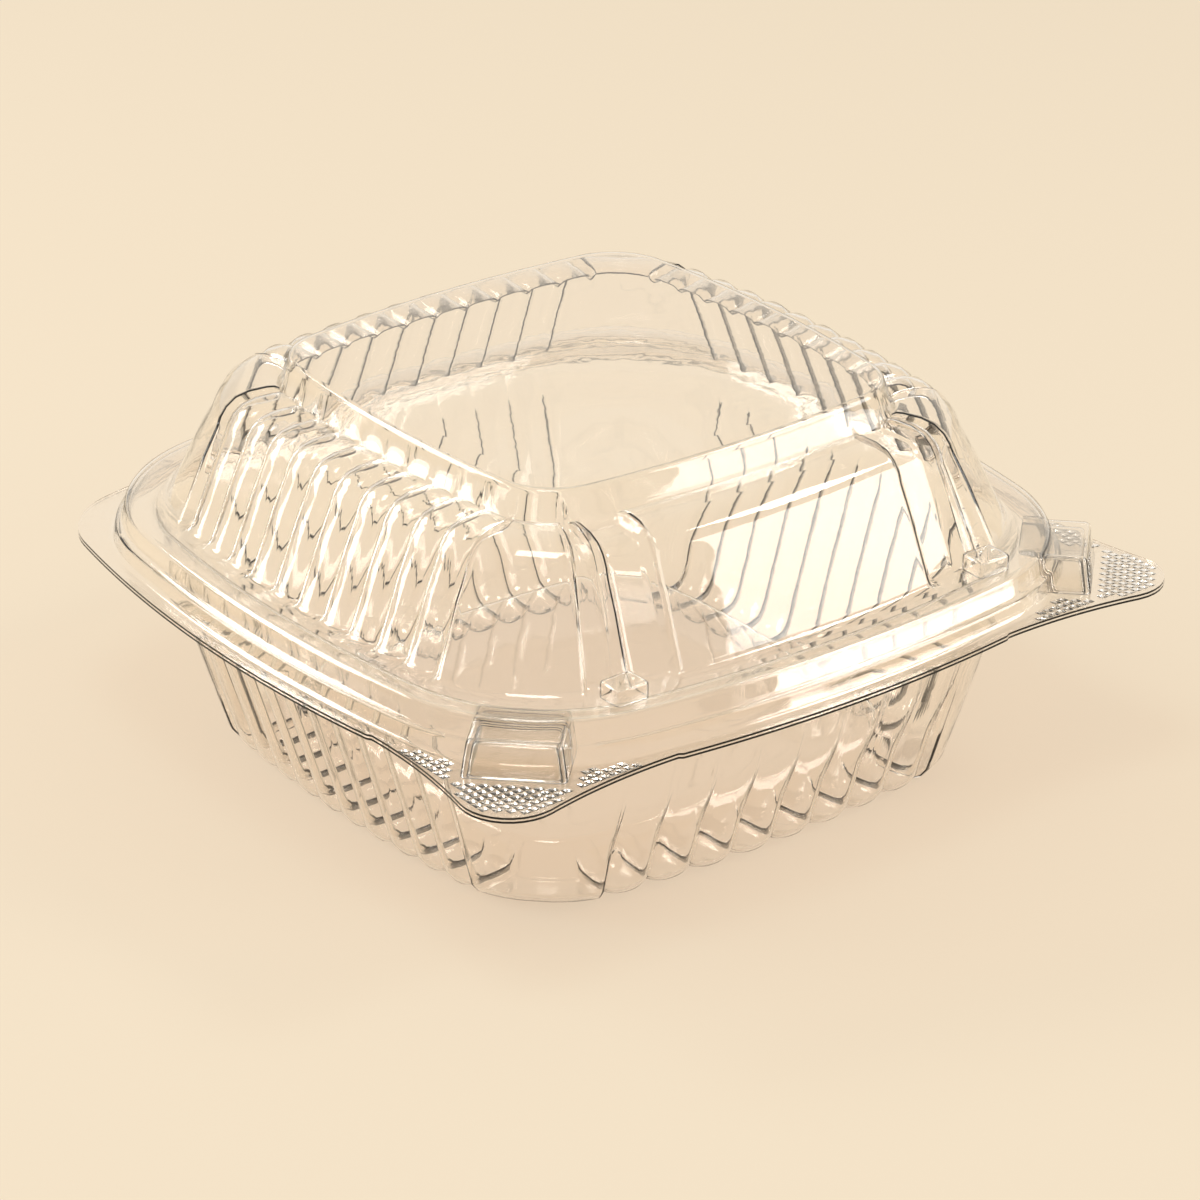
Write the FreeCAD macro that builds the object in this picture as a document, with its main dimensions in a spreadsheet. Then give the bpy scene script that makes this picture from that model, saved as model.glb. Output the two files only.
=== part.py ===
import FreeCAD, Part
import math
import os
import Sketcher

# Clear hinged pack, formed from one thin sheet: a domed lid and a tray.
# X runs along the front, the hinge is at +Y, the tray's feet stand at Z = 0.

doc = FreeCAD.newDocument("ClamshellPack")
sheet = doc.addObject("Spreadsheet::Sheet", "Sizes")

sizes = {
    # the clear sheet and the running gap between lid and tray
    "film": 0.4,
    "clearance": 0.3,
    # every side is an arc about a far centre, this far beyond the middle
    "bow_centre": 200,
    # flange: reach is measured from the middle of the pack to mid-side
    "flange_reach": 76,
    "flange_corner": 18,
    "parting_level": 38,
    "hinge_half_length": 46,
    "hinge_strip_width": 7,
    # finger tabs at the two front corners, sizes along the diagonal
    "tab_tip": 103.7,
    "tab_round": 9,
    "tab_blend": 30,
    "tab_root": 77,
    "tab_root_half": 26.5,
    # rim wall that rises from the flange, with a small step half way up
    "rim_reach": 73.2,
    "rim_step": 0.9,
    "rim_draft": 0.5,
    "rim_corner": 34,
    "rim_step_level": 42,
    "ledge_level": 46,
    # square snap button on each tab
    "button_back": 78,
    "button_front": 91,
    "button_width": 18,
    "button_draft": 1.0,
    "button_level": 45.2,
    # lid dome, reaches taken in the valleys between the flutes
    "dome_foot": 61.5,
    "dome_foot_corner": 24,
    "dome_shoulder": 53.5,
    "dome_shoulder_corner": 21,
    "shoulder_level": 65,
    "crown_reach": 50.5,
    "crown_corner": 19,
    "crown_level": 67.2,
    "top_foot": 44,
    "top_reach": 42.4,
    "top_corner": 12,
    "top_level": 74,
    # label panel and side ribs of the lid's front
    "label_angle": 12.2,
    "front_rib_spread": 17,
    # stacking lugs on the ledge at the feet of the two front ribs
    "lug_width": 7,
    "lug_depth": 6,
    "lug_height": 3.2,
    "lug_offset": 40,
    # flutes: ribs on the left, rear and right walls of lid and tray
    "flute_count": 10,
    "flute_spread": 14.4,
    "flute_depth": 2.2,
    "flute_crest": 3.4,
    "flute_foot": 7.0,
    # tray
    "mouth_reach": 66.6,
    "mouth_corner": 32,
    "heel_reach": 54,
    "heel_corner": 21,
    "heel_level": 5,
    "floor_reach": 51,
    "floor_corner": 19,
    "recess_foot": 44.4,
    "recess_top": 42.8,
    "recess_corner": 13,
    "recess_height": 7,
    "tray_flute_top": 36,
    "tray_flute_fade": 4,
    "front_feet_count": 8,
    "front_feet_spread": 13.4,
    "front_feet_top": 12,
}
for row, (alias, size) in enumerate(sizes.items(), 1):
    sheet.set("A%d" % row, alias.replace("_", " "))
    sheet.set("B%d" % row, str(size))
    sheet.setAlias("B%d" % row, alias)
doc.recompute()

SIDES = {"right": 0, "rear": 90, "left": 180, "front": 270}


def worked_out(text):
    """Number that an expression on the sheet gives."""
    return float(sheet.evalExpression(text))


def bind(sketch, kind, places, text):
    """Add a dimension to a sketch and tie it to the sheet."""
    name = "size%d" % sketch.ConstraintCount
    index = sketch.addConstraint(Sketcher.Constraint(kind, *places, worked_out(text)))
    sketch.renameConstraint(index, name)
    sketch.setExpression("Constraints." + name, text)


def edge_sketch(name, reach, corner, level):
    """Bowed square: four long side arcs joined by four tangent corner arcs."""
    sketch = doc.addObject("Sketcher::SketchObject", name)
    centre = worked_out("Sizes.bow_centre")
    side = centre + worked_out(reach)
    bend = worked_out(corner)
    shift = (math.sqrt(2 * (side - bend) ** 2 - centre ** 2) - centre) / 2
    swing = math.atan2(shift, centre + shift)
    upright = FreeCAD.Vector(0, 0, 1)
    for quarter in range(4):
        turn = quarter * math.pi / 2
        far = FreeCAD.Vector(-centre * math.cos(turn), -centre * math.sin(turn), 0)
        near = FreeCAD.Vector(shift * math.sqrt(2) * math.cos(turn + math.pi / 4),
                              shift * math.sqrt(2) * math.sin(turn + math.pi / 4), 0)
        sketch.addGeometry(Part.ArcOfCircle(
            Part.Circle(far, upright, side), turn - swing, turn + swing))
        sketch.addGeometry(Part.ArcOfCircle(
            Part.Circle(near, upright, bend), turn + swing, turn + math.pi / 2 - swing))
    for arc in range(8):
        sketch.addConstraint(Sketcher.Constraint("Tangent", arc, 2, (arc + 1) % 8, 1))
    for arc in (0, 4):
        sketch.addConstraint(Sketcher.Constraint("PointOnObject", arc, 3, -1))
    for arc in (2, 6):
        sketch.addConstraint(Sketcher.Constraint("PointOnObject", arc, 3, -2))
    for arc in (2, 4, 6):
        sketch.addConstraint(Sketcher.Constraint("Equal", 0, arc))
    for arc in (3, 5, 7):
        sketch.addConstraint(Sketcher.Constraint("Equal", 1, arc))
    bind(sketch, "DistanceX", (0, 3, -1, 1), "Sizes.bow_centre")
    bind(sketch, "DistanceY", (2, 3, -1, 1), "Sizes.bow_centre")
    bind(sketch, "DistanceX", (-1, 1, 4, 3), "Sizes.bow_centre")
    bind(sketch, "DistanceY", (-1, 1, 6, 3), "Sizes.bow_centre")
    bind(sketch, "Radius", (0,), "Sizes.bow_centre + " + reach)
    bind(sketch, "Radius", (1,), corner)
    sketch.setExpression("Placement.Base.z", level)
    return sketch


def taper(kind, name, turn, sizes_bound):
    """Part primitive with its sizes tied to the sheet."""
    block = doc.addObject(kind, name)
    for size, text in sizes_bound.items():
        block.setExpression(size, text)
    if kind == "Part::Wedge":
        block.Placement.Rotation = (
            FreeCAD.Rotation(FreeCAD.Vector(0, 0, 1), turn)
            * FreeCAD.Rotation(FreeCAD.Vector(1, 0, 0), 90))
    return block


def common(name, first, second):
    """What two solids share."""
    shared = doc.addObject("Part::Common", name)
    shared.Base = first
    shared.Tool = second
    return shared


def facet(reach, corner):
    """Distance of the flat 45 degree corner from the middle of the pack."""
    return ("(sqrt(2 * (Sizes.bow_centre + %s - (%s)) ^ 2 - Sizes.bow_centre ^ 2)"
            " - Sizes.bow_centre) / sqrt(2) + %s" % (reach, corner, corner))


def stage(name, low, high):
    """Bowed square with flat corners: four cones about the far centres and a wedge."""
    cones = []
    for side, turn in SIDES.items():
        along = -round(math.cos(math.radians(turn)))
        across = -round(math.sin(math.radians(turn)))
        cones.append(taper("Part::Cone", name + "_" + side, turn, {
            "Radius1": "Sizes.bow_centre + " + low[0],
            "Radius2": "Sizes.bow_centre + " + high[0],
            "Height": "%s - (%s)" % (high[2], low[2]),
            "Placement.Base.x": "%d * Sizes.bow_centre" % along,
            "Placement.Base.y": "%d * Sizes.bow_centre" % across,
            "Placement.Base.z": low[2]}))
    below, above = facet(low[0], low[1]), facet(high[0], high[1])
    corners = taper("Part::Wedge", name + "_corners", 45, {
        "Xmin": "-(%s)" % below, "Xmax": below, "Zmin": "-(%s)" % below, "Zmax": below,
        "X2min": "-(%s)" % above, "X2max": above, "Z2min": "-(%s)" % above, "Z2max": above,
        "Ymin": low[2], "Ymax": high[2]})
    pair = common(name + "_sides", cones[0], cones[2])
    other = common(name + "_ends", cones[1], cones[3])
    return common(name, common(name + "_bowed", pair, other), corners)


def skin(name, *outlines):
    """Closed form from stages between outlines, from the lowest to the highest."""
    stages = [stage("%s_%d" % (name, i + 1), outlines[i], outlines[i + 1])
              for i in range(len(outlines) - 1)]
    return stages[0] if len(stages) == 1 else fused(name, stages)


def outline(name, reach, corner, level):
    """Reach, corner radius and level that a stage begins or ends with."""
    return reach, corner, level


def slab(name, profile):
    """Film-thick plate on a flat profile."""
    plate = doc.addObject("Part::Extrusion", name)
    plate.Base = profile
    plate.DirMode = "Custom"
    plate.Dir = FreeCAD.Vector(0, 0, 1)
    plate.setExpression("LengthFwd", "Sizes.film")
    plate.Solid = True
    return plate


def tab_profile(name, turn, level):
    """Finger tab along a diagonal: a round tip with hollow blends to the flange."""
    sketch = doc.addObject("Sketcher::SketchObject", name)
    tip = worked_out("Sizes.tab_tip - Sizes.tab_round")
    nose = worked_out("Sizes.tab_round")
    blend = worked_out("Sizes.tab_blend")
    root = worked_out("Sizes.tab_root")
    half = worked_out("Sizes.tab_root_half")
    # the blend's centre lies nose + blend from the tip's centre and blend from the root
    run = math.hypot(root - tip, half)
    along = ((nose + blend) ** 2 - blend ** 2 + run ** 2) / (2 * run)
    off = math.sqrt((nose + blend) ** 2 - along ** 2)
    ux, uy = (root - tip) / run, half / run
    cx = tip + along * ux + off * uy
    cy = along * uy - off * ux
    lean = math.atan2(cy, cx - tip)
    start = math.atan2(half - cy, root - cx) % (2 * math.pi)
    upright = FreeCAD.Vector(0, 0, 1)
    sketch.addGeometry(Part.ArcOfCircle(
        Part.Circle(FreeCAD.Vector(tip, 0, 0), upright, nose), -lean, lean))
    sketch.addGeometry(Part.ArcOfCircle(
        Part.Circle(FreeCAD.Vector(cx, cy, 0), upright, blend), start, lean + math.pi))
    sketch.addGeometry(Part.ArcOfCircle(
        Part.Circle(FreeCAD.Vector(cx, -cy, 0), upright, blend),
        math.pi - lean, 2 * math.pi - start))
    sketch.addGeometry(Part.LineSegment(
        FreeCAD.Vector(root, half, 0), FreeCAD.Vector(root, -half, 0)))
    sketch.addConstraint(Sketcher.Constraint("Tangent", 1, 2, 0, 2))
    sketch.addConstraint(Sketcher.Constraint("Tangent", 0, 1, 2, 1))
    sketch.addConstraint(Sketcher.Constraint("Coincident", 3, 1, 1, 1))
    sketch.addConstraint(Sketcher.Constraint("Coincident", 3, 2, 2, 2))
    sketch.addConstraint(Sketcher.Constraint("Symmetric", 1, 1, 2, 2, -1))
    sketch.addConstraint(Sketcher.Constraint("Equal", 1, 2))
    sketch.addConstraint(Sketcher.Constraint("PointOnObject", 0, 3, -1))
    bind(sketch, "Radius", (0,), "Sizes.tab_round")
    bind(sketch, "Radius", (1,), "Sizes.tab_blend")
    bind(sketch, "DistanceX", (-1, 1, 0, 3), "Sizes.tab_tip - Sizes.tab_round")
    bind(sketch, "DistanceX", (-1, 1, 3, 1), "Sizes.tab_root")
    bind(sketch, "DistanceY", (3, 2, 3, 1), "2 * Sizes.tab_root_half")
    sketch.Placement.Rotation = FreeCAD.Rotation(FreeCAD.Vector(0, 0, 1), turn)
    sketch.setExpression("Placement.Base.z", level)
    return sketch


def flange(name, level):
    """Flat flange with its two finger tabs and the straight hinge strip."""
    plate = slab(name + "_plate", edge_sketch(
        name + "_edge", "Sizes.flange_reach", "Sizes.flange_corner", level))
    right = slab(name + "_tab_right", tab_profile(name + "_tab_right_edge", -45, level))
    left = slab(name + "_tab_left", tab_profile(name + "_tab_left_edge", -135, level))
    strip = doc.addObject("Part::Box", name + "_hinge_strip")
    strip.setExpression("Length", "2 * Sizes.hinge_half_length")
    strip.setExpression("Width", "Sizes.hinge_strip_width")
    strip.setExpression("Height", "Sizes.film")
    strip.setExpression("Placement.Base.x", "-Sizes.hinge_half_length")
    strip.setExpression("Placement.Base.y", "Sizes.flange_reach - Sizes.hinge_strip_width")
    strip.setExpression("Placement.Base.z", level)
    return [plate, right, left, strip]


def rim(name, inset, bottom):
    """Two-step rim block, drawn in and lowered by the inset, from a bottom level."""
    corner = "Sizes.rim_corner - (%s)" % inset
    reach = "Sizes.rim_reach - (%s)" % inset
    step = "Sizes.rim_step_level - (%s)" % inset
    low = skin(
        name + "_lower",
        outline(name + "_foot", reach, corner, bottom),
        outline(name + "_step", reach + " - Sizes.rim_draft", corner, step))
    inner = reach + " - Sizes.rim_draft - Sizes.rim_step"
    high = skin(
        name + "_upper",
        outline(name + "_tread", inner, corner, step + " - Sizes.rim_step"),
        outline(name + "_ledge", inner + " - Sizes.rim_draft", corner,
                "Sizes.ledge_level - (%s)" % inset))
    return [low, high]


def buttons(name, inset, bottom):
    """Drafted snap buttons on the two diagonals, drawn in by the inset."""
    made = []
    for hand, turn in (("right", -45), ("left", -135)):
        block = doc.addObject("Part::Wedge", name + "_" + hand)
        half = "Sizes.button_width / 2 - (%s)" % inset
        block.setExpression("Xmin", "Sizes.button_back")
        block.setExpression("X2min", "Sizes.button_back")
        block.setExpression("Xmax", "Sizes.button_front - (%s)" % inset)
        block.setExpression("X2max", "Sizes.button_front - Sizes.button_draft - (%s)" % inset)
        block.setExpression("Zmin", "-(%s)" % half)
        block.setExpression("Zmax", half)
        block.setExpression("Z2min", "Sizes.button_draft - (%s)" % half)
        block.setExpression("Z2max", "%s - Sizes.button_draft" % half)
        block.setExpression("Ymin", bottom)
        block.setExpression("Ymax", "Sizes.button_level - (%s)" % inset)
        block.Placement = FreeCAD.Placement(
            FreeCAD.Vector(0, 0, 0),
            FreeCAD.Rotation(FreeCAD.Vector(0, 0, 1), turn)
            * FreeCAD.Rotation(FreeCAD.Vector(1, 0, 0), 90))
        made.append(block)
    return made


def lugs(name, inset):
    """Stacking lugs on the ledge at the feet of the two front ribs."""
    made = []
    for hand, sign in (("right", 1), ("left", -1)):
        block = doc.addObject("Part::Box", name + "_" + hand)
        block.setExpression("Length", "Sizes.lug_width - 2 * (%s)" % inset)
        block.setExpression("Width", "Sizes.lug_depth")
        block.setExpression("Height", "Sizes.lug_height")
        block.setExpression("Placement.Base.x", "%d * Sizes.lug_offset - Sizes.lug_width / 2"
                            " + (%s)" % (sign, inset))
        block.setExpression("Placement.Base.y", "(%s) - Sizes.dome_foot - Sizes.lug_depth / 2"
                            % inset)
        block.setExpression("Placement.Base.z", "Sizes.ledge_level - (%s)" % inset)
        made.append(block)
    return made


def polygon(sketch, corners):
    """Closed run of lines whose corners are tied to the sheet."""
    points = [FreeCAD.Vector(worked_out(across), worked_out(up), 0) for across, up in corners]
    for i in range(len(points)):
        sketch.addGeometry(Part.LineSegment(points[i], points[(i + 1) % len(points)]))
    for i in range(len(points)):
        sketch.addConstraint(Sketcher.Constraint(
            "Coincident", i, 2, (i + 1) % len(points), 1))
    for i, (across, up) in enumerate(corners):
        bind(sketch, "DistanceX", (-1, 1, i, 1), across)
        bind(sketch, "DistanceY", (-1, 1, i, 1), up)


def comb(name, side, count, spread, inset, profile):
    """Ribs with sloping flanks, spread evenly about one side's far centre."""
    body = doc.addObject("PartDesign::Body", name)
    body.AllowCompound = True
    origin = {feature.Role: feature for feature in body.Origin.OriginFeatures}
    ranks = [
        ("foot_before", "-(Sizes.flute_foot - (%s)) / 2" % inset, profile(inset, True)),
        ("crest_before", "-(Sizes.flute_crest - (%s)) / 2" % inset, profile(inset, False)),
        ("crest_after", "(Sizes.flute_crest - (%s)) / 2" % inset, profile(inset, False)),
        ("foot_after", "(Sizes.flute_foot - (%s)) / 2" % inset, profile(inset, True)),
    ]
    sections = []
    for rank, place, corners in ranks:
        sketch = body.newObject("Sketcher::SketchObject", name + "_" + rank)
        sketch.AttachmentSupport = [(origin["XZ_Plane"], "")]
        sketch.MapMode = "FlatFace"
        sketch.setExpression("AttachmentOffset.Base.z", place)
        polygon(sketch, corners)
        sections.append(sketch)
    rib = body.newObject("PartDesign::AdditiveLoft", name + "_rib")
    rib.Profile = sections[0]
    rib.Sections = sections[1:]
    rib.Ruled = True
    row = body.newObject("PartDesign::PolarPattern", name + "_row")
    row.Originals = [rib]
    row.Axis = (origin["Z_Axis"], [""])
    row.setExpression("Angle", spread)
    row.setExpression("Occurrences", count)
    body.Tip = row
    turn = SIDES[side]
    body.Placement.Rotation = FreeCAD.Rotation(
        FreeCAD.Vector(0, 0, 1), turn - worked_out(spread) / 2)
    body.setExpression("Placement.Rotation.Angle", "%d - (%s) / 2" % (turn, spread))
    body.setExpression("Placement.Base.x", "%d * Sizes.bow_centre" % -round(math.cos(math.radians(turn))))
    body.setExpression("Placement.Base.y", "%d * Sizes.bow_centre" % -round(math.sin(math.radians(turn))))
    return body


def moved_in(profile, down):
    """A flute's crest profile, moved in and down or up to below the valleys."""
    return [("%s - 1.15 * Sizes.flute_depth" % across,
             "%s %s 1.15 * Sizes.flute_depth" % (up, down)) for across, up in profile]


def crest(reach, inset):
    """Distance of a flute's crest from the far centre."""
    return "Sizes.bow_centre + %s + Sizes.flute_depth - (%s)" % (reach, inset)


def dome_flute(inset, sunk):
    """Side view of a lid flute: up the wall, round the shoulder, in to the top panel."""
    top = "Sizes.crown_level - (%s) + Sizes.flute_depth" % inset
    foot = "Sizes.ledge_level - Sizes.film - (%s)" % inset
    inside = "Sizes.bow_centre + Sizes.top_reach - Sizes.film - (%s)" % inset
    profile = [
        (crest("Sizes.dome_foot", inset), foot),
        (crest("Sizes.dome_shoulder", inset), "Sizes.shoulder_level - (%s)" % inset),
        (crest("Sizes.crown_reach - Sizes.flute_depth / 2", inset), top),
        (inside, top),
        (inside, "Sizes.shoulder_level - 3 * Sizes.flute_depth"),
        ("Sizes.bow_centre + Sizes.crown_reach - 2 * Sizes.flute_depth", foot),
    ]
    return moved_in(profile, "-") if sunk else profile


def tray_flute_under(ceiling):
    """Side view of a tray flute: down the wall, under the heel, in to the recess."""
    def profile(inset, sunk):
        bottom = "(%s)" % inset
        slope = ("(Sizes.mouth_reach - Sizes.heel_reach) / (Sizes.ledge_level - Sizes.film"
                 " - Sizes.clearance - Sizes.heel_level)")
        fade = "%s - Sizes.tray_flute_fade" % ceiling
        wall = "Sizes.heel_reach + %s * (%s - Sizes.heel_level)"
        inside = "Sizes.bow_centre + Sizes.recess_top - Sizes.film"
        corners = [
            (crest(wall % (slope, ceiling), inset) + " - 1.15 * Sizes.flute_depth", ceiling),
            (crest(wall % (slope, fade), inset), fade),
            (crest("Sizes.heel_reach", inset), "Sizes.heel_level"),
            (crest("Sizes.floor_reach - Sizes.flute_depth / 2", inset), bottom),
            (inside, bottom),
            (inside, "Sizes.heel_level"),
            ("Sizes.bow_centre + Sizes.floor_reach - 2 * Sizes.flute_depth", ceiling),
        ]
        return moved_in(corners, "+") if sunk else corners
    return profile


def dome(name, inset):
    """Dome and raised top panel of the lid, drawn in by the inset."""
    wall = skin(
        name + "_wall",
        outline(name + "_foot", "Sizes.dome_foot - (%s)" % inset,
                "Sizes.dome_foot_corner - (%s)" % inset,
                "Sizes.ledge_level - Sizes.film / 2 - (%s)" % inset),
        outline(name + "_shoulder", "Sizes.dome_shoulder - (%s)" % inset,
                "Sizes.dome_shoulder_corner - (%s)" % inset,
                "Sizes.shoulder_level - (%s)" % inset),
        outline(name + "_crown", "Sizes.crown_reach - (%s)" % inset,
                "Sizes.crown_corner - (%s)" % inset,
                "Sizes.crown_level - (%s)" % inset))
    top = skin(
        name + "_top",
        outline(name + "_top_foot", "Sizes.top_foot - (%s)" % inset,
                "Sizes.top_corner - (%s)" % inset,
                "Sizes.crown_level - Sizes.film - (%s)" % inset),
        outline(name + "_top_edge", "Sizes.top_reach - (%s)" % inset,
                "Sizes.top_corner - (%s)" % inset,
                "Sizes.top_level - (%s)" % inset))
    parts = [wall, top]
    for side in ("left", "rear", "right"):
        parts.append(comb(name + "_flutes_" + side, side, "Sizes.flute_count",
                          "Sizes.flute_spread", inset, dome_flute))
    parts.append(comb(name + "_front_ribs", "front", "2", "Sizes.front_rib_spread",
                      inset, dome_flute))
    # smooth label panel across the front, level with the crests of the flutes
    sketch = doc.addObject("Sketcher::SketchObject", name + "_label_section")
    polygon(sketch, dome_flute(inset, False))
    sketch.Placement.Rotation = (
        FreeCAD.Rotation(FreeCAD.Vector(0, 0, 1), -90)
        * FreeCAD.Rotation(FreeCAD.Vector(1, 0, 0), 90))
    sketch.setExpression("Placement.Base.y", "Sizes.bow_centre")
    label = doc.addObject("Part::Revolution", name + "_label")
    label.Source = sketch
    label.Axis = FreeCAD.Vector(0, 0, 1)
    label.setExpression("Base.y", "Sizes.bow_centre")
    label.setExpression("Angle", "Sizes.label_angle - 0.4 * (%s)" % inset)
    label.Symmetric = True
    label.Solid = True
    parts.append(label)
    return parts


def bowl(name, inset, mouth_level):
    """Tray wall, feet and floor, drawn in by the inset, with its recess taken out."""
    wall = skin(
        name + "_wall",
        outline(name + "_floor", "Sizes.floor_reach - (%s)" % inset,
                "Sizes.floor_corner - (%s)" % inset, "Sizes.flute_depth + (%s)" % inset),
        outline(name + "_heel", "Sizes.heel_reach - (%s)" % inset,
                "Sizes.heel_corner - (%s)" % inset, "Sizes.heel_level"),
        outline(name + "_mouth", "Sizes.mouth_reach - (%s)" % inset,
                "Sizes.mouth_corner - (%s)" % inset, mouth_level))
    parts = [wall]
    for side in ("left", "rear", "right"):
        parts.append(comb(name + "_flutes_" + side, side, "Sizes.flute_count",
                          "Sizes.flute_spread", inset,
                          tray_flute_under("Sizes.tray_flute_top")))
    parts.append(comb(name + "_front_feet", "front", "Sizes.front_feet_count",
                      "Sizes.front_feet_spread", inset,
                      tray_flute_under("Sizes.front_feet_top")))
    recess = skin(
        name + "_recess",
        outline(name + "_recess_foot", "Sizes.recess_foot + (%s)" % inset,
                "Sizes.recess_corner + (%s)" % inset, "-Sizes.film"),
        outline(name + "_recess_top", "Sizes.recess_top + (%s)" % inset,
                "Sizes.recess_corner + (%s)" % inset, "Sizes.recess_height + (%s)" % inset))
    return cut(name, fused(name + "_form", parts), recess)


def fused(name, parts):
    """One solid from many."""
    union = doc.addObject("Part::MultiFuse", name)
    union.Shapes = parts
    return union


def cut(name, whole, tool):
    """A solid with another taken out of it."""
    rest = doc.addObject("Part::Cut", name)
    rest.Base = whole
    rest.Tool = tool
    return rest


# Lid: flange, rim, snap buttons, ledge, fluted dome and top panel. The sheet is
# what is left of the outer form when the same form, drawn in by the film, goes.
lid_level = "Sizes.parting_level + Sizes.clearance / 2"
under_lid = "Sizes.parting_level - Sizes.film"
lid_outer = fused(
    "lid_outer",
    flange("lid_flange", lid_level)
    + rim("lid_rim", "0", lid_level)
    + buttons("lid_button", "0", lid_level)
    + lugs("lid_lug", "0")
    + dome("lid_dome", "0"))
lid_inner = fused(
    "lid_inner",
    rim("lid_rim_inner", "Sizes.film", under_lid)
    + buttons("lid_button_inner", "Sizes.film", under_lid)
    + lugs("lid_lug_inner", "Sizes.film")
    + dome("lid_dome_inner", "Sizes.film"))
lid = cut("lid_sheet", lid_outer, lid_inner)
lid.Label = "lid"

# Tray: its rim nests inside the lid's rim with the running clearance, its mouth
# opens through the ledge, and its fluted wall ends in feet round a raised floor.
tray_level = "Sizes.parting_level - Sizes.clearance / 2 - Sizes.film"
nest = "Sizes.film + Sizes.clearance"
nest_inner = "2 * Sizes.film + Sizes.clearance"
under_tray = "Sizes.parting_level - 4 * Sizes.film"
rim_outer = fused(
    "tray_rim_outer",
    flange("tray_flange", tray_level)
    + rim("tray_rim", nest, tray_level)
    + buttons("tray_button", nest, tray_level))
rim_inner = fused(
    "tray_rim_hollow",
    rim("tray_rim_inner", nest_inner, under_tray)
    + buttons("tray_button_inner", nest_inner, under_tray))
rim_sheet = cut("tray_rim_sheet", rim_outer, rim_inner)
ledge_top = "Sizes.ledge_level - Sizes.film - Sizes.clearance"
bowl_outer = bowl("tray_bowl", "0", ledge_top)
bowl_inner = bowl("tray_bowl_inner", "Sizes.film", ledge_top + " + Sizes.film")
tray = cut("tray_sheet", fused("tray_outer", [rim_sheet, bowl_outer]), bowl_inner)
tray.Label = "base_tray"

doc.recompute()

for item in doc.Objects:
    for state in item.State:
        if state in ("Invalid", "Error"):
            raise RuntimeError("failed: " + item.Name)

os.makedirs("parts", exist_ok=True)
for piece in (lid, tray):
    shape = piece.Shape
    if shape.isNull() or not shape.isValid():
        raise RuntimeError("bad shape: " + piece.Label)
    print(piece.Label, "solids", len(shape.Solids), "volume %.1f" % shape.Volume,
          "box", [round(v, 2) for v in (shape.BoundBox.XMin, shape.BoundBox.XMax,
                                         shape.BoundBox.YMin, shape.BoundBox.YMax,
                                         shape.BoundBox.ZMin, shape.BoundBox.ZMax)])
    shape.exportStep("parts/%s.step" % piece.Label)
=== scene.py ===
import math
import bmesh
import bpy
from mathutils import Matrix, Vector


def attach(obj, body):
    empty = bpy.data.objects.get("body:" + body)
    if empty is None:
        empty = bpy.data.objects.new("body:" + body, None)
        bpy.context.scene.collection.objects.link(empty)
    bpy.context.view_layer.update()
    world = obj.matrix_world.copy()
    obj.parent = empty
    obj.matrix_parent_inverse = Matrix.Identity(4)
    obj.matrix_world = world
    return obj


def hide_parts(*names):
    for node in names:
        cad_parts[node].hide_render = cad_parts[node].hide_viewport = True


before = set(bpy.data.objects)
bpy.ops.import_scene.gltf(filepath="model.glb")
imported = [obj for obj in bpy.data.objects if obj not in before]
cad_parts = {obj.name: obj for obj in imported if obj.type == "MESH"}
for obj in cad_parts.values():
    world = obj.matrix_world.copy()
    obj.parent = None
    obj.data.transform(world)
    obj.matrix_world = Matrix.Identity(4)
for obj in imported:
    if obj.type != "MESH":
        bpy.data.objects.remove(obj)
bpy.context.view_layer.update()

# --- Lid -------------------------------------------------------------------
# The lid is clear film about 0.4 mm thick, drawn up over a mould: a flat flange,
# a two-step rim, a ledge, and a dome whose left, rear and right walls are fluted.
# It is modelled as one skin, ring by ring from the flange edge to the top panel.

film = 0.0004                          # m, the film's thickness
far_centre = 200.0                     # mm, the sides are arcs about a point this far off
flute_edge = 8.0                       # degrees from mid-side to the last flute's edge
flute_pitch = 1.6                      # degrees from one flute to the next
steps_per_flute = 12
corner_steps = 18
corner_at_foot = 11.7                  # degrees to the middle of a corner, at the ledge
corner_begins = 10.2                   # degrees, past this all is the plain corner
label_edge = 6.0                       # degrees from mid-front to the label panel's edge
rib_middle, rib_half = 8.5, 0.3        # degrees, the ribs beside the label panel
fade = 0.35                            # degrees over which a form falls to the wall


def corner_shape(reach, corner):
    """Centre of a corner's arc, and the angle at which the side meets it."""
    side = far_centre + reach
    shift = (math.sqrt(2 * (side - corner) ** 2 - far_centre ** 2) - far_centre) / 2
    return shift, math.atan2(shift, far_centre + shift)


def on_outline(turn, reach, corner, out):
    """Point on a bowed outline, along a ray from the side's far centre."""
    shift, swing = corner_shape(reach, corner)
    if abs(turn) <= swing:
        length = far_centre + reach
    else:
        along = (far_centre + shift) * math.cos(turn) + shift * math.sin(abs(turn))
        gap = (far_centre + shift) ** 2 + shift ** 2 - corner ** 2
        length = along + math.sqrt(max(along * along - gap, 0.0))
    length += out
    return length * math.cos(turn) - far_centre, length * math.sin(turn)


def side_marks():
    """Marks along one side, in degrees from its middle, up to the next corner."""
    fluted = int(2 * flute_edge / flute_pitch * steps_per_flute)
    marks = [-corner_at_foot + (corner_at_foot - flute_edge) * i / corner_steps
             for i in range(corner_steps)]
    marks += [-flute_edge + 2 * flute_edge * i / fluted for i in range(fluted + 1)]
    marks += [flute_edge + (corner_at_foot - flute_edge) * i / corner_steps
              for i in range(1, corner_steps)]
    return marks


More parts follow.
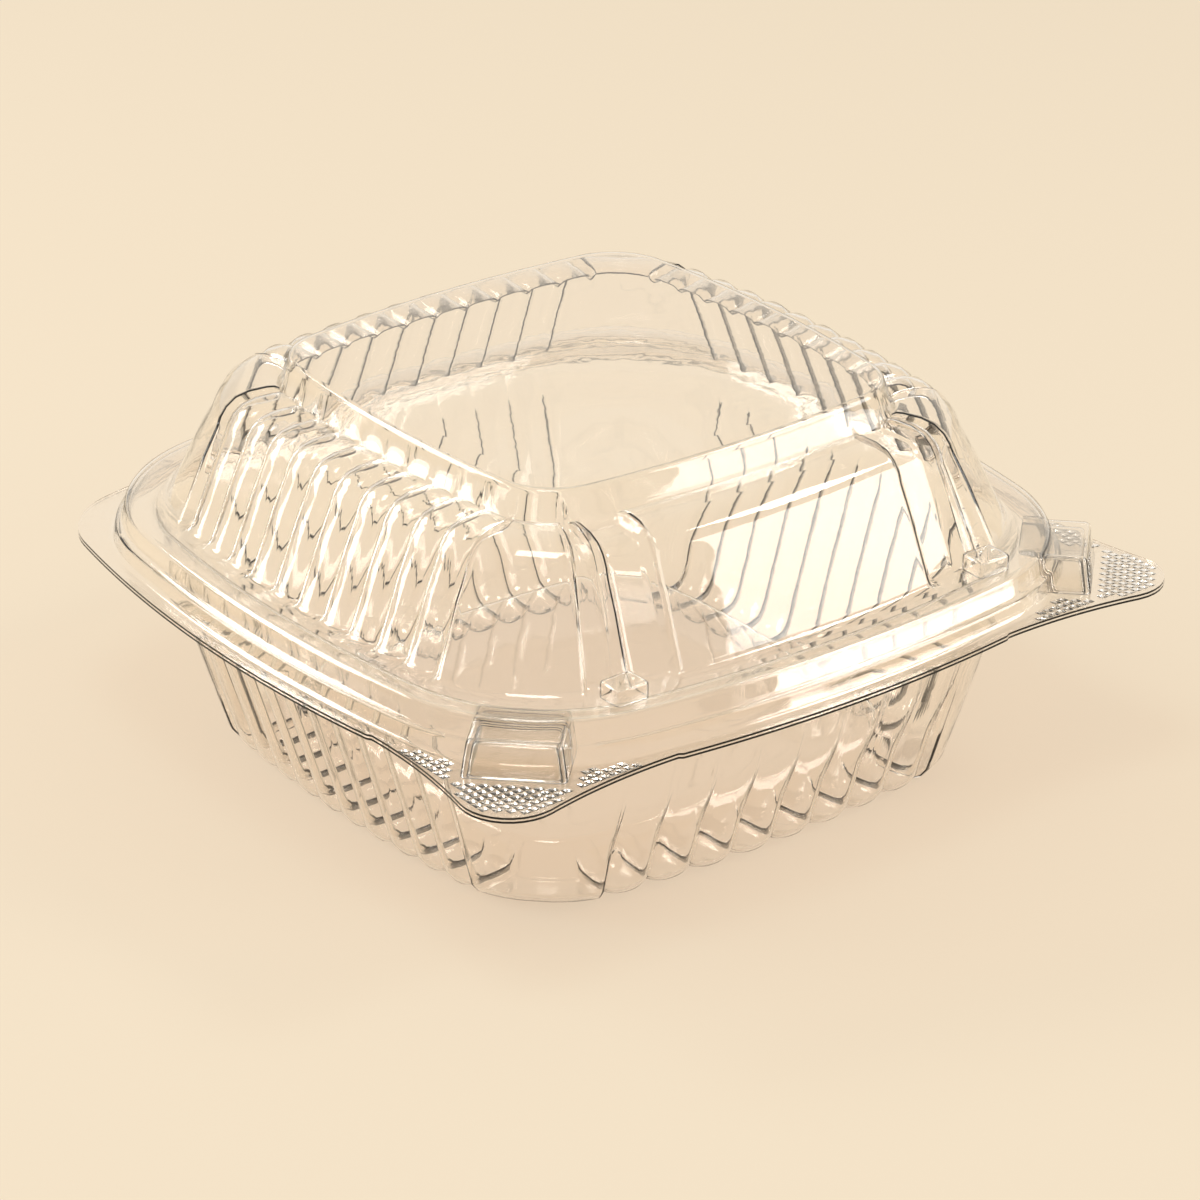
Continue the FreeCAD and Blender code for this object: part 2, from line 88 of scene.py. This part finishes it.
def ring(reach, corner, level, crest_reach, crest_level, rise):
    """Points of one ring; rise gives how far each mark lies from valley to crest."""
    shift, swing = corner_shape(reach, corner)
    tip = shift + corner / math.sqrt(2)
    last = math.degrees(math.atan2(tip, far_centre + tip))
    points = []
    for quarter, side in enumerate(("right", "rear", "left", "front")):
        cos, sin = math.cos(quarter * math.pi / 2), math.sin(quarter * math.pi / 2)
        for mark in side_marks():
            turn = mark
            if abs(mark) > flute_edge:
                share = (abs(mark) - flute_edge) / (corner_at_foot - flute_edge)
                turn = math.copysign(flute_edge + share * (last - flute_edge), mark)
            share = rise(side, mark)
            across, along = on_outline(math.radians(turn), reach, corner,
                                       (crest_reach - reach) * share)
            points.append(Vector((across * cos - along * sin, across * sin + along * cos,
                                  level + (crest_level - level) * share)))
    return points


def soft_step(value, start, end):
    """Rise smoothly from 0 at start to 1 at end."""
    share = min(max((value - start) / (end - start), 0.0), 1.0)
    return share * share * (3 - 2 * share)


def round_flute(mark):
    """Broad round crest with a narrow valley on each side."""
    phase = (mark / flute_pitch) % 1.0 * 2 - 1
    return max(1 - abs(phase) ** 2.6, 0.0) ** 0.6


def lid_rise(side, mark):
    """Flutes on three sides; on the front a label panel between two ribs."""
    reach = abs(mark)
    if reach >= corner_begins:
        return 1.0
    if side != "front":
        if reach < flute_edge:
            return round_flute(mark)
        return soft_step(reach, flute_edge, flute_edge + fade)
    label = 1 - soft_step(reach, label_edge, label_edge + fade)
    rib = 1 - soft_step(abs(reach - rib_middle), rib_half, rib_half + 0.4)
    return max(label, rib, soft_step(reach, corner_begins - 0.6, corner_begins - 0.2))


def draw_skin(name, rings):
    """First ring as a circle, then each further ring extruded from the last."""
    bpy.ops.object.select_all(action="DESELECT")
    bpy.ops.mesh.primitive_circle_add(vertices=len(rings[0]), radius=0.05)
    piece = bpy.context.active_object
    piece.name = name
    mesh = piece.data
    bpy.ops.object.mode_set(mode="EDIT")
    bpy.ops.mesh.select_mode(type="VERT")
    order = []
    for count, points in enumerate(rings):
        if count:
            bpy.ops.mesh.extrude_region_move()
        form = bmesh.from_edit_mesh(mesh)
        form.verts.ensure_lookup_table()
        fresh = [corner for corner in form.verts if corner.select]
        if count:
            linked = {edge.other_vert(corner).index: corner
                      for corner in fresh for edge in corner.link_edges
                      if not edge.other_vert(corner).select}
            fresh = [linked[index] for index in order]
        else:
            fresh.sort(key=lambda corner: corner.index)
        for corner, place in zip(fresh, points):
            corner.co = place / 1000
        form.verts.index_update()
        order = [corner.index for corner in fresh]
        bmesh.update_edit_mesh(mesh)
    bpy.ops.mesh.edge_face_add()
    bpy.ops.mesh.select_all(action="SELECT")
    bpy.ops.mesh.normals_make_consistent(inside=False)
    bpy.ops.object.mode_set(mode="OBJECT")
    return piece


def film_wall(piece):
    """Give the skin its film thickness, on the side away from its normals."""
    bpy.ops.object.select_all(action="DESELECT")
    piece.select_set(True)
    bpy.context.view_layer.objects.active = piece
    top = max(piece.data.polygons, key=lambda face: face.area)
    if top.normal.z < 0:
        piece.data.flip_normals()
    wall = piece.modifiers.new("film", "SOLIDIFY")
    wall.thickness = film
    wall.offset = -1
    wall.use_even_offset = False
    bpy.ops.object.modifier_apply(modifier=wall.name)
    bpy.ops.object.shade_smooth_by_angle(angle=math.radians(50))


def tab_edge(points, level, tip=103.7, nose=9.0, blend=110.0, root=77.0, half=26.5):
    """Draw the flange ring out along the two finger tabs."""
    tip -= nose
    run = math.hypot(root - tip, half)
    along = ((nose + blend) ** 2 - blend ** 2 + run ** 2) / (2 * run)
    off = math.sqrt((nose + blend) ** 2 - along ** 2)
    ux, uy = (root - tip) / run, half / run
    cx, cy = tip + along * ux + off * uy, along * uy - off * ux
    lean = math.atan2(cy, cx - tip)
    begin = math.atan2(half - cy, root - cx) % (2 * math.pi)
    path = []
    for i in range(41):
        angle = begin + (lean + math.pi - begin) * i / 40
        path.append((cx + blend * math.cos(angle), cy + blend * math.sin(angle)))
    for i in range(1, 61):
        angle = lean - 2 * lean * i / 60
        path.append((tip + nose * math.cos(angle), nose * math.sin(angle)))
    path += [(across, -up) for across, up in reversed(path[:41])][1:]
    lengths = [0.0]
    for (ax, ay), (bx, by) in zip(path, path[1:]):
        lengths.append(lengths[-1] + math.hypot(bx - ax, by - ay))
    result = [point.copy() for point in points]
    for sign in (1, -1):
        out = Vector((sign, -1, 0)).normalized()
        side = Vector((sign, 1, 0)).normalized()
        group = [i for i, point in enumerate(result)
                 if point.dot(out) > root - 0.5 and abs(point.dot(side)) < half]
        group.sort(key=lambda i: -points[i].dot(side))
        for rank, i in enumerate(group):
            want = lengths[-1] * (rank + 0.5) / len(group)
            j = max(k for k in range(len(lengths)) if lengths[k] <= want)
            j = min(j, len(path) - 2)
            share = (want - lengths[j]) / (lengths[j + 1] - lengths[j])
            u = path[j][0] + (path[j + 1][0] - path[j][0]) * share
            v = path[j][1] + (path[j + 1][1] - path[j][1]) * share
            result[i] = out * u + side * v + Vector((0, 0, level))
    return result


def hinge_edge(points, half=46.0, reach=75.88):
    """Straighten the rear of the flange ring along the fold line."""
    for point in points:
        if abs(point.x) < half and point.y > reach - 6:
            point.y = reach
    return points


def plain(side, mark):
    """No flutes: the whole ring is valley."""
    return 0.0


lid_rings = [hinge_edge(tab_edge(ring(76, 18, 38.55, 76, 38.55, plain), 38.55))]
for reach, corner, level in (
        (75.2, 19, 38.55), (74.0, 33, 38.55), (73.4, 34, 38.75), (73.1, 34, 39.4),
        (72.8, 34, 41.4), (72.6, 34, 41.85), (72.1, 34, 42.05), (71.75, 34, 42.5),
        (71.35, 34, 45.2), (71.05, 34, 45.75), (70.4, 34, 46.0), (66.2, 30, 46.0)):
    lid_rings.append(ring(reach, corner, level, reach, level, plain))
for valley, corner, level, crest, crest_level in (
        (62.9, 24.5, 46.0, 64.8, 46.0), (61.8, 24, 46.3, 64.0, 46.3),
        (61.3, 24, 47.2, 63.5, 47.2), (59.0, 23.2, 52.7, 61.2, 52.7),
        (56.7, 22.4, 58.3, 58.9, 58.3), (54.4, 21.6, 63.6, 56.5, 63.2),
        (53.5, 21, 65.2, 55.9, 65.2), (52.5, 20.4, 66.3, 54.8, 67.0),
        (51.0, 19.6, 67.0, 53.0, 68.5), (49.0, 18, 67.2, 50.4, 69.2),
        (46.4, 15, 67.2, 46.9, 69.3), (45.2, 13.2, 67.3, 45.3, 69.1),
        (44.5, 12.4, 67.9, 44.5, 68.6)):
    lid_rings.append(ring(valley, corner, level, crest, crest_level, lid_rise))
for reach, corner, level in (
        (43.9, 12, 69.6), (43.0, 12, 72.9), (42.85, 12, 73.5), (42.5, 12, 73.88),
        (42.0, 11.8, 74.0), (38, 10, 74.0)):
    lid_rings.append(ring(reach, corner, level, reach, level, plain))
lid_skin = draw_skin("lid_film", lid_rings)
film_wall(lid_skin)

# clear film: glass-like, with light let through to what lies under it
clear = bpy.data.materials.new("clear_film")
clear.use_nodes = True
nodes, links = clear.node_tree.nodes, clear.node_tree.links
surface = nodes["Principled BSDF"]
surface.inputs["Base Color"].default_value = (0.991, 0.971, 0.943, 1)
surface.inputs["IOR"].default_value = 1.5
surface.inputs["Transmission Weight"].default_value = 1.0
ripple = nodes.new("ShaderNodeTexNoise")
ripple.inputs["Scale"].default_value = 55
ripple.inputs["Detail"].default_value = 3
place = nodes.new("ShaderNodeTexCoord")
links.new(place.outputs["Object"], ripple.inputs["Vector"])
haze = nodes.new("ShaderNodeMapRange")
haze.inputs["To Min"].default_value = 0.004
haze.inputs["To Max"].default_value = 0.03
links.new(ripple.outputs["Fac"], haze.inputs["Value"])
links.new(haze.outputs["Result"], surface.inputs["Roughness"])
bump = nodes.new("ShaderNodeBump")
bump.inputs["Strength"].default_value = 0.12
bump.inputs["Distance"].default_value = 0.001
links.new(ripple.outputs["Fac"], bump.inputs["Height"])
links.new(bump.outputs["Normal"], surface.inputs["Normal"])
through = nodes.new("ShaderNodeBsdfTransparent")
through.inputs["Color"].default_value = (0.85, 0.72, 0.60, 1)
path = nodes.new("ShaderNodeLightPath")
either = nodes.new("ShaderNodeMath")
either.operation = "MAXIMUM"
links.new(path.outputs["Is Shadow Ray"], either.inputs[0])
links.new(path.outputs["Is Diffuse Ray"], either.inputs[1])
mix = nodes.new("ShaderNodeMixShader")
links.new(either.outputs[0], mix.inputs[0])
links.new(surface.outputs[0], mix.inputs[1])
links.new(through.outputs[0], mix.inputs[2])
links.new(mix.outputs[0], nodes["Material Output"].inputs["Surface"])


def finish(piece, body):
    """Clear film on a piece that moves with a body."""
    piece.data.materials.clear()
    piece.data.materials.append(clear)
    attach(piece, body)


finish(lid_skin, "lid")
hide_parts("lid")

# --- Tray ------------------------------------------------------------------
# The tray is drawn down from the same sheet. Its rim nests inside the lid's rim,
# and its flutes run under the heel and stand as rounded feet round a raised floor.


def tray_rise(side, mark):
    """Flutes on three sides, a smooth front, corners level with the crests."""
    reach = abs(mark)
    if side == "front":
        return 1.0
    if reach < flute_edge:
        return round_flute(mark)
    return soft_step(reach, flute_edge, flute_edge + 0.35)


def feet_rise(side, mark):
    """The same at the heel, where the front has eight short feet too."""
    reach = abs(mark)
    if side != "front":
        return tray_rise(side, mark)
    if reach > flute_edge:
        return soft_step(reach, flute_edge, flute_edge + 0.35)
    phase = mark / 2.0 % 1.0 * 2 - 1
    return max(1 - abs(phase) ** 2.6, 0.0) ** 0.6


tray_rings = [hinge_edge(tab_edge(ring(76, 18, 37.85, 76, 37.85, plain), 37.85))]
for reach, corner, level in (
        (75.2, 19, 37.85), (73.4, 32, 37.85), (72.8, 33.3, 38.05), (72.4, 33.3, 38.7),
        (72.1, 33.3, 40.7), (71.9, 33.3, 41.15), (71.4, 33.3, 41.35), (71.05, 33.3, 41.8),
        (70.65, 33.3, 44.5), (70.35, 33.3, 45.05), (69.7, 33.3, 45.3), (67.6, 32.5, 45.3),
        (66.6, 31.8, 45.05), (66.1, 31.6, 44.3), (65.0, 31, 41.0)):
    tray_rings.append(ring(reach, corner, level, reach, level, plain))
for valley, corner, level, crest, crest_level in (
        (63.7, 29.5, 37.3, 63.9, 37.3), (63.1, 29, 35.4, 64.3, 35.4),
        (62.0, 28.2, 32.0, 64.0, 32.0), (59.3, 26, 23.2, 61.4, 23.2)):
    tray_rings.append(ring(valley, corner, level, crest, crest_level, tray_rise))
for valley, corner, level, crest, crest_level in (
        (56.0, 22.5, 12.5, 58.1, 12.5), (54.0, 21, 6.2, 56.0, 5.6),
        (53.2, 20.4, 4.4, 55.3, 3.2), (52.2, 19.8, 3.3, 54.0, 1.5),
        (50.8, 18.6, 2.8, 52.2, 0.6), (49.0, 17.6, 2.65, 49.8, 0.42),
        (46.6, 15.6, 2.65, 46.8, 0.42), (45.4, 14.2, 2.8, 45.3, 0.65),
        (44.8, 13.6, 3.5, 44.8, 1.6)):
    tray_rings.append(ring(valley, corner, level, crest, crest_level, feet_rise))
for reach, corner, level in (
        (44.1, 13.4, 4.9), (43.6, 13.4, 6.6), (43.1, 13.2, 7.2), (42.3, 13, 7.4),
        (38, 11, 7.4)):
    tray_rings.append(ring(reach, corner, level, reach, level, plain))
tray_skin = draw_skin("base_tray_film", tray_rings)
film_wall(tray_skin)
finish(tray_skin, "base_tray")
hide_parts("base_tray")

# --- Snap buttons ----------------------------------------------------------
# A square hollow button stands on each finger tab of the lid and snaps over a
# smaller one on the tray. Both are drawn from the film, open underneath.


def open_film_box(piece, opened, rounding, segments):
    """Take out the faces where a box is open, round its edges, give it a wall."""
    bpy.ops.object.mode_set(mode="EDIT")
    bpy.ops.mesh.select_mode(type="FACE")
    bpy.ops.mesh.select_all(action="DESELECT")
    form = bmesh.from_edit_mesh(piece.data)
    for face in form.faces:
        face.select = opened(face)
    bmesh.update_edit_mesh(piece.data)
    bpy.ops.mesh.delete(type="FACE")
    bpy.ops.mesh.select_mode(type="EDGE")
    bpy.ops.mesh.select_all(action="DESELECT")
    form = bmesh.from_edit_mesh(piece.data)
    for edge in form.edges:
        edge.select = len(edge.link_faces) == 2
    bmesh.update_edit_mesh(piece.data)
    bpy.ops.mesh.bevel(offset=rounding, segments=segments)
    bpy.ops.object.mode_set(mode="OBJECT")
    wall = piece.modifiers.new("film", "SOLIDIFY")
    wall.thickness = film
    wall.offset = -1
    bpy.ops.object.modifier_apply(modifier=wall.name)
    bpy.ops.object.shade_smooth_by_angle(angle=math.radians(50))


def button(name, body, turn, inset, bottom, top):
    """Drafted hollow box on a diagonal, its edges rounded."""
    back, front, width, draft = 78.0, 91.0 - inset, 18.0 - 2 * inset, 1.0
    bpy.ops.object.select_all(action="DESELECT")
    bpy.ops.mesh.primitive_cube_add(size=1)
    piece = bpy.context.active_object
    piece.name = name
    out = Vector((math.cos(turn), math.sin(turn), 0))
    side = Vector((-math.sin(turn), math.cos(turn), 0))
    for corner in piece.data.vertices:
        high = corner.co.z > 0
        less = draft if high else 0.0
        along = front - less if corner.co.x > 0 else back
        across = math.copysign(width / 2 - less, corner.co.y)
        corner.co = (out * along + side * across
                     + Vector((0, 0, top if high else bottom))) / 1000
    open_film_box(piece, lambda face: face.normal.z < -0.5 or face.normal.dot(out) < -0.5,
                  0.0011, 4)
    finish(piece, body)


tabs = (("right", -math.pi / 4), ("left", -3 * math.pi / 4))
for hand, turn in tabs:
    button("lid_button_" + hand, "lid", turn, 0.0, 38.5, 45.2)
    button("tray_button_" + hand, "base_tray", turn, 0.9, 37.8, 44.2)

# --- Stacking lugs ---------------------------------------------------------
# Two small blocks stand on the ledge at the feet of the front ribs, so that one
# pack's feet can't slide off the next. They are formed in the lid's film.
for hand, sign in (("right", 1), ("left", -1)):
    bpy.ops.object.select_all(action="DESELECT")
    bpy.ops.mesh.primitive_cube_add(size=1, location=(sign * 0.040, -0.0628, 0.0475))
    lug = bpy.context.active_object
    lug.name = "lid_lug_" + hand
    lug.scale = (0.0068, 0.0056, 0.0032)
    bpy.ops.object.transform_apply(location=True, rotation=True, scale=True)
    open_film_box(lug, lambda face: face.normal.z < -0.5, 0.0008, 3)
    finish(lug, "lid")

# --- Finger grip -----------------------------------------------------------
# The tabs carry rows of small diamond pyramids, pressed into the film so that
# fingers don't slip. One pyramid is modelled and repeated over each tab.


def grip(name, body, turn, level):
    """Staggered rows of pyramids over one tab, clear of its button and edge."""
    bpy.ops.object.select_all(action="DESELECT")
    out = Vector((math.cos(turn), math.sin(turn), 0))
    side = Vector((-math.sin(turn), math.cos(turn), 0))
    pitch, root, tip, widest = 2.3, 77.0, 101.3, 24.5
    first = None
    made = []
    for row in range(23):
        along = root + row * pitch / 2
        for place in range(-12, 13):
            across = (place + 0.5 * (row % 2)) * pitch
            spot = (out * along + side * across) / 1000
            near, far = sorted((abs(spot.x) * 1000, abs(spot.y) * 1000))
            if far > 74.4 or along > tip or abs(across) > widest - 0.84 * (along - root):
                continue
            turn_here = math.atan2(near, far_centre + far)
            rim_x, rim_y = on_outline(turn_here, 73.4, 34, 0)
            if math.hypot(far_centre + far, near) < math.hypot(far_centre + rim_x, rim_y) + 1.2:
                continue
            if along < 92.4 and abs(across) < 10.6:
                continue
            if first is None:
                bpy.ops.mesh.primitive_cone_add(vertices=4, radius1=0.00108, radius2=0.00025,
                                                depth=0.0003, location=(0, 0, 0))
                first = bpy.context.active_object
                first.rotation_euler.z = turn
                bpy.ops.object.transform_apply(location=True, rotation=True, scale=True)
                copy = first
            else:
                copy = first.copy()
                copy.data = first.data.copy()
                bpy.context.collection.objects.link(copy)
            copy.location = spot + Vector((0, 0, level / 1000 + 0.00016))
            made.append(copy)
    bpy.ops.object.select_all(action="DESELECT")
    for copy in made:
        copy.select_set(True)
    bpy.context.view_layer.objects.active = made[0]
    bpy.ops.object.transform_apply(location=True, rotation=True, scale=True)
    bpy.ops.object.join()
    piece = bpy.context.active_object
    piece.name = name
    finish(piece, body)


for hand, turn in tabs:
    grip("lid_grip_" + hand, "lid", turn, 38.55)

# --- Table and backdrop ----------------------------------------------------
# A plain cream table that keeps the pack's warm soft shadow, in a plain room of
# the same tone, lit by five soft windows whose reflections draw the clear film.


def shown(nodes, links):
    """Is 1 on the rays that show a surface, straight, on gloss or through film."""
    rays = nodes.new("ShaderNodeLightPath")
    shows = rays.outputs["Is Camera Ray"]
    for kind in ("Is Glossy Ray", "Is Transmission Ray"):
        either = nodes.new("ShaderNodeMath")
        either.operation = "MAXIMUM"
        links.new(shows, either.inputs[0])
        links.new(rays.outputs[kind], either.inputs[1])
        shows = either.outputs[0]
    return shows


cream = (0.888, 0.761, 0.584, 1)
bpy.ops.object.select_all(action="DESELECT")
bpy.ops.mesh.primitive_plane_add(size=6, location=(0, 0, -0.0002))
table = bpy.context.active_object
table.name = "table"
warm = bpy.data.materials.new("warm_table")
warm.use_nodes = True
nodes, links = warm.node_tree.nodes, warm.node_tree.links
plain_table = nodes["Principled BSDF"]
plain_table.inputs["Base Color"].default_value = cream
plain_table.inputs["Roughness"].default_value = 0.95
plain_table.inputs["Specular IOR Level"].default_value = 0.0
even = nodes.new("ShaderNodeEmission")
even.inputs["Color"].default_value = cream
even_share = nodes.new("ShaderNodeMath")
even_share.operation = "MULTIPLY"
even_share.inputs[1].default_value = 0.68
links.new(shown(nodes, links), even_share.inputs[0])
blend = nodes.new("ShaderNodeMixShader")
links.new(even_share.outputs[0], blend.inputs[0])
links.new(plain_table.outputs[0], blend.inputs[1])
links.new(even.outputs[0], blend.inputs[2])
links.new(blend.outputs[0], nodes["Material Output"].inputs["Surface"])
table.data.materials.append(warm)

world = bpy.data.worlds.new("soft_room")
bpy.context.scene.world = world
world.use_nodes = True
nodes, links = world.node_tree.nodes, world.node_tree.links
backing = nodes["Background"]
backing.inputs["Color"].default_value = (0.95, 0.89, 0.80, 1)
level = nodes.new("ShaderNodeMapRange")
level.inputs["To Min"].default_value = 0.46
level.inputs["To Max"].default_value = 1.0
links.new(shown(nodes, links), level.inputs["Value"])
links.new(level.outputs["Result"], backing.inputs["Strength"])


for name, place, wide, high, power in (
        ("window_right", (0.68, -0.75, 0.26), 0.56, 0.46, 3.6),
        ("high_right", (0.58, -0.46, 0.72), 0.26, 0.22, 2.2),
        ("window_left", (-0.66, 0.64, 0.38), 0.32, 0.52, 3.6),
        ("high_left", (-0.40, 0.72, 0.62), 0.34, 0.30, 2.6),
        ("top_soft", (-0.30, -0.20, 0.90), 0.30, 0.28, 1.8)):
    light = bpy.data.lights.new(name, "AREA")
    light.shape = "RECTANGLE"
    light.size, light.size_y = wide, high
    light.energy = power
    light.color = (1.0, 0.98, 0.95)
    body = bpy.data.objects.new(name, light)
    body.location = place
    aim = Vector((0, 0, 0.04)) - Vector(place)
    body.rotation_euler = aim.to_track_quat("-Z", "Y").to_euler()
    bpy.context.collection.objects.link(body)

# --- Camera ----------------------------------------------------------------
# It looks at the pack's front left corner from above, from about a metre away.
azimuth, elevation, distance = math.radians(-37.7), math.radians(26.1), 0.962
target = Vector((-0.0039, -0.0095, 0.0324))
back = Vector((math.sin(azimuth) * math.cos(elevation),
               -math.cos(azimuth) * math.cos(elevation), math.sin(elevation)))
eye = bpy.data.cameras.new("photo_view")
eye.lens = 5393 / 1200 * 36
eye.sensor_width = 36
eye.clip_start, eye.clip_end = 0.05, 20
camera = bpy.data.objects.new("photo_view", eye)
camera.location = target + back * distance
camera.rotation_euler = (-back).to_track_quat("-Z", "Y").to_euler()
bpy.context.collection.objects.link(camera)
bpy.context.scene.camera = camera
bpy.context.scene.view_settings.view_transform = "Standard"
